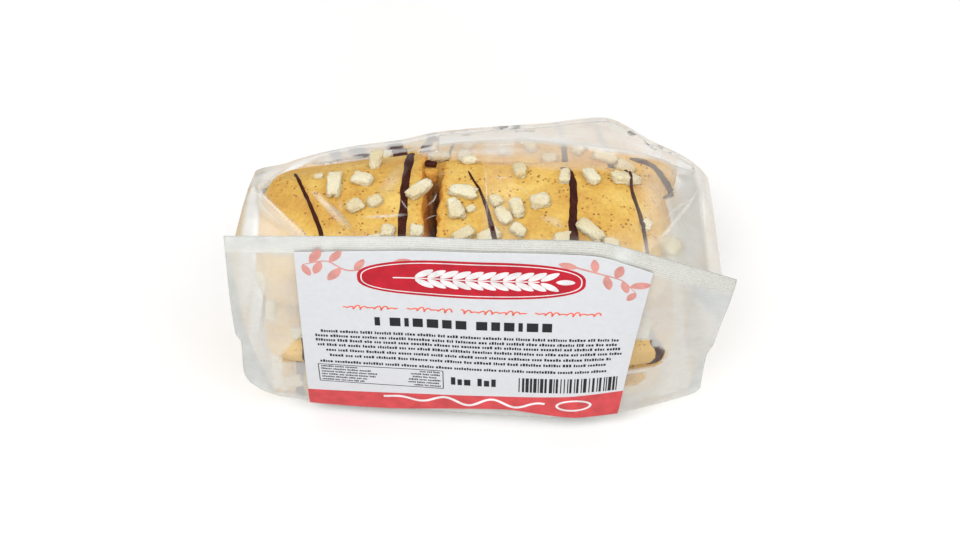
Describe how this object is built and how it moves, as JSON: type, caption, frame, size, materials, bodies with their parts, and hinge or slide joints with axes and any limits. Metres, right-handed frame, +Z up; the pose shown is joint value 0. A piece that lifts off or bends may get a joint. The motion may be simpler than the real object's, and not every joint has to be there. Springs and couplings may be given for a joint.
{
  "type": "clear film pack of biscotti",
  "caption": "Sealed clear-film pack of long oval biscotti with sugar nibs and chocolate stripes, with an upright crimped seal and a plain paper label on its front.",
  "frame": {"origin": "middle of the footprint, on the surface the pack lies on", "axes": "+X along the pack to the reader's right, -Y the way the label faces, +Z up"},
  "size_m": [0.1448, 0.0982, 0.087],
  "materials": {
    "film": "clear, slightly milky film",
    "label_paper": "smooth white coated paper",
    "label_ink": "printed fields of colour",
    "biscuit": "baked golden crust",
    "chocolate": "set dark chocolate, satin",
    "sugar": "opaque sugar nibs"
  },
  "bodies": {
    "root": {"bag": "film", "label": "label_paper"}
  },
  "joints": []
}
